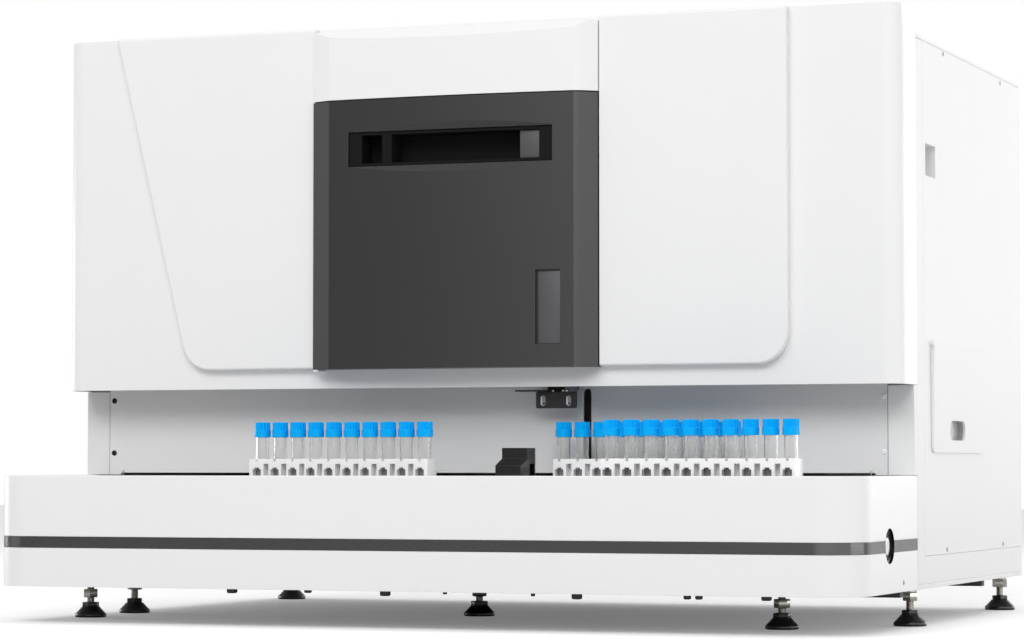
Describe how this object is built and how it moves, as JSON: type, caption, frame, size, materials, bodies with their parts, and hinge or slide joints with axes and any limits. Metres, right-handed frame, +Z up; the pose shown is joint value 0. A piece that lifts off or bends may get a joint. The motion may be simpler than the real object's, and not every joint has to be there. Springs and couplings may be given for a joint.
{
  "type": "urine analyzer",
  "caption": "Bench-top urine analyzer with a front rack tray of capped tubes, a curved dark door and a sheet-metal housing on levelling feet.",
  "frame": {"origin": "middle of the footprint, on the surface that the levelling feet stand on", "axes": "+Z up, -Y towards the operator, +X to the operator's right"},
  "size_m": [0.928, 0.722, 0.616],
  "materials": {
    "white_metal": "satin",
    "white_plastic": "satin",
    "dark_plastic": "satin",
    "black_plastic": "matte",
    "black_metal": "satin",
    "grey_plastic": "satin",
    "rack_plastic": "gloss",
    "steel": "brushed",
    "zinc_metal": "matte",
    "foot_plastic": "matte",
    "glass": "clear"
  },
  "bodies": {
    "housing": {"main_frame": "white_metal", "tray_pan": "white_metal", "tray_apron": "white_plastic", "apron_band": "dark_plastic", "apron_band_end": "dark_plastic", "power_bezel": "black_plastic", "rack_tray": "grey_plastic", "rack_guide": "black_plastic", "rack_right_back": "rack_plastic", "bay_column_left": "white_metal", "bay_column_right": "white_metal", "bay_back_panel": "white_metal", "front_cover": "white_plastic", "raised_panel_left": "white_plastic", "raised_panel_right": "white_plastic", "module_cap": "white_plastic", "front_crossbar": "zinc_metal", "sensor_bracket": "black_metal", "sampler_rail": "steel", "needle_guide": "grey_plastic", "side_panel_right": "white_metal", "side_panel_left": "white_metal", "top_cover": "white_metal", "rear_panel": "white_metal", "connector_panel": "white_metal", "fan_housing": "black_plastic", "mains_inlet": "black_plastic", "switch_housing": "black_plastic", "data_sockets": "zinc_metal", "hose_fittings": "zinc_metal", "equipment_deck": "zinc_metal", "strip_hopper": "white_plastic", "strip_stage": "white_plastic", "reading_head": "black_plastic", "pump_housing": "white_plastic", "pump_barrel": "glass", "power_supply": "zinc_metal", "control_board": "grey_plastic", "waste_box": "grey_plastic", "levelling_foot_1": "foot_plastic", "levelling_foot_2": "foot_plastic", "levelling_foot_3": "foot_plastic", "levelling_foot_4": "foot_plastic", "levelling_foot_5": "foot_plastic", "levelling_foot_6": "foot_plastic", "levelling_foot_7": "foot_plastic"},
    "door": {"front_door": "dark_plastic", "strip_port_liner": "black_plastic"},
    "hatch": {"side_hatch": "white_plastic"},
    "button": {"power_button": "white_plastic"},
    "rocker": {"mains_switch": "black_plastic"},
    "feeder": {"feed_carriage": "steel", "rack_right_front": "rack_plastic"},
    "returner": {"return_carriage": "steel", "rack_left": "rack_plastic"},
    "sampler": {"sampler_carriage": "zinc_metal", "sampler_needle": "steel"},
    "plunger": {"pump_plunger": "steel"},
    "drum": {"strip_drum": "grey_plastic"},
    "fan": {"fan_rotor": "black_plastic"}
  },
  "joints": [
    {"name": "door_hinge", "type": "hinge", "parent": "housing", "child": "door", "pos_m": [-0.158, -0.212, 0.4], "axis": [0, 0, 1], "range_deg": [-100, 0]},
    {"name": "hatch_hinge", "type": "hinge", "parent": "housing", "child": "hatch", "pos_m": [0.4622, 0.0325, 0.285], "axis": [0, 1, 0], "range_deg": [-85, 0]},
    {"name": "power_button_slide", "type": "slide", "parent": "housing", "child": "button", "axis": [1, 0, 0], "range_m": [-0.003, 0], "stiffness_N_per_m": 400},
    {"name": "mains_switch_rocker", "type": "hinge", "parent": "housing", "child": "rocker", "pos_m": [-0.307, 0.3426, 0.12], "axis": [1, 0, 0], "range_deg": [0, 14]},
    {"name": "feed_slide", "type": "slide", "parent": "housing", "child": "feeder", "axis": [0, 1, 0], "range_m": [0, 0.1]},
    {"name": "return_slide", "type": "slide", "parent": "housing", "child": "returner", "axis": [0, 1, 0], "range_m": [-0.065, 0]},
    {"name": "sampler_slide", "type": "slide", "parent": "housing", "child": "sampler", "axis": [0, 0, 1], "range_m": [-0.062, 0]},
    {"name": "plunger_slide", "type": "slide", "parent": "housing", "child": "plunger", "axis": [0, 0, 1], "range_m": [-0.024, 0]},
    {"name": "drum_axle", "type": "hinge", "parent": "housing", "child": "drum", "pos_m": [-0.04, -0.061, 0.39], "axis": [1, 0, 0], "continuous": true},
    {"name": "fan_axle", "type": "hinge", "parent": "housing", "child": "fan", "pos_m": [0.28, 0.33185, 0.43], "axis": [0, 1, 0], "continuous": true}
  ]
}
